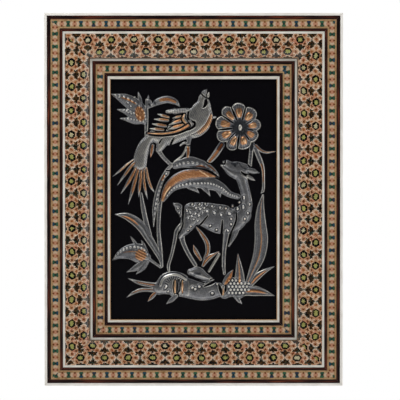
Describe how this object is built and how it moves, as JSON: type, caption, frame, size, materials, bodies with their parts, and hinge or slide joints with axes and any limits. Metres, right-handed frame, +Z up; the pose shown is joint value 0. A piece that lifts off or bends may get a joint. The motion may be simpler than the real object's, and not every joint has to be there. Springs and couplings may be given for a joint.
{
  "type": "engraved copper wall plaque",
  "caption": "Framed wall plaque: a tinned copper relief of a bird, a doe and flowers on black, in a mitred wooden frame faced with star marquetry and bone lines.",
  "frame": {"origin": "on the back of the top rail, midway across, 25 mm below the top edge, where the frame rests against the wall", "axes": "+X to the viewer's right, +Y into the wall, +Z up; the picture faces -Y"},
  "size_m": [0.24, 0.018, 0.3],
  "materials": {
    "tinned_copper": "tinned copper, raised and engraved, rubbed through to copper in places, ground painted satin black",
    "dark_wood": "dark stained hardwood under clear lacquer",
    "wide_marquetry": "star marquetry of wood, bone and brass triangles, lacquered",
    "narrow_marquetry": "narrow border marquetry of wood and bone, lacquered",
    "bone": "polished camel bone line",
    "hardboard": "bare hardboard",
    "steel": "bright zinc-plated steel"
  },
  "bodies": {
    "root": {"top_rail": "dark_wood", "top_bone_edging": "bone", "top_outer_marquetry": "narrow_marquetry", "top_outer_bone_line": "bone", "top_wide_marquetry": "wide_marquetry", "top_inner_bone_line": "bone", "top_inner_marquetry": "narrow_marquetry", "top_bone_lip": "bone", "left_rail": "dark_wood", "left_bone_edging": "bone", "left_outer_marquetry": "narrow_marquetry", "left_outer_bone_line": "bone", "left_wide_marquetry": "wide_marquetry", "left_inner_bone_line": "bone", "left_inner_marquetry": "narrow_marquetry", "left_bone_lip": "bone", "bottom_rail": "dark_wood", "bottom_bone_edging": "bone", "bottom_outer_marquetry": "narrow_marquetry", "bottom_outer_bone_line": "bone", "bottom_wide_marquetry": "wide_marquetry", "bottom_inner_bone_line": "bone", "bottom_inner_marquetry": "narrow_marquetry", "bottom_bone_lip": "bone", "right_rail": "dark_wood", "right_bone_edging": "bone", "right_outer_marquetry": "narrow_marquetry", "right_outer_bone_line": "bone", "right_wide_marquetry": "wide_marquetry", "right_inner_bone_line": "bone", "right_inner_marquetry": "narrow_marquetry", "right_bone_lip": "bone", "engraved_copper_plate": "tinned_copper", "backing_board": "hardboard", "sawtooth_hanger": "steel", "hanger_nail_left": "steel", "hanger_nail_right": "steel", "backing_brad_1": "steel", "backing_brad_2": "steel", "backing_brad_3": "steel", "backing_brad_4": "steel", "backing_brad_5": "steel", "backing_brad_6": "steel", "backing_brad_7": "steel", "backing_brad_8": "steel"}
  },
  "joints": []
}
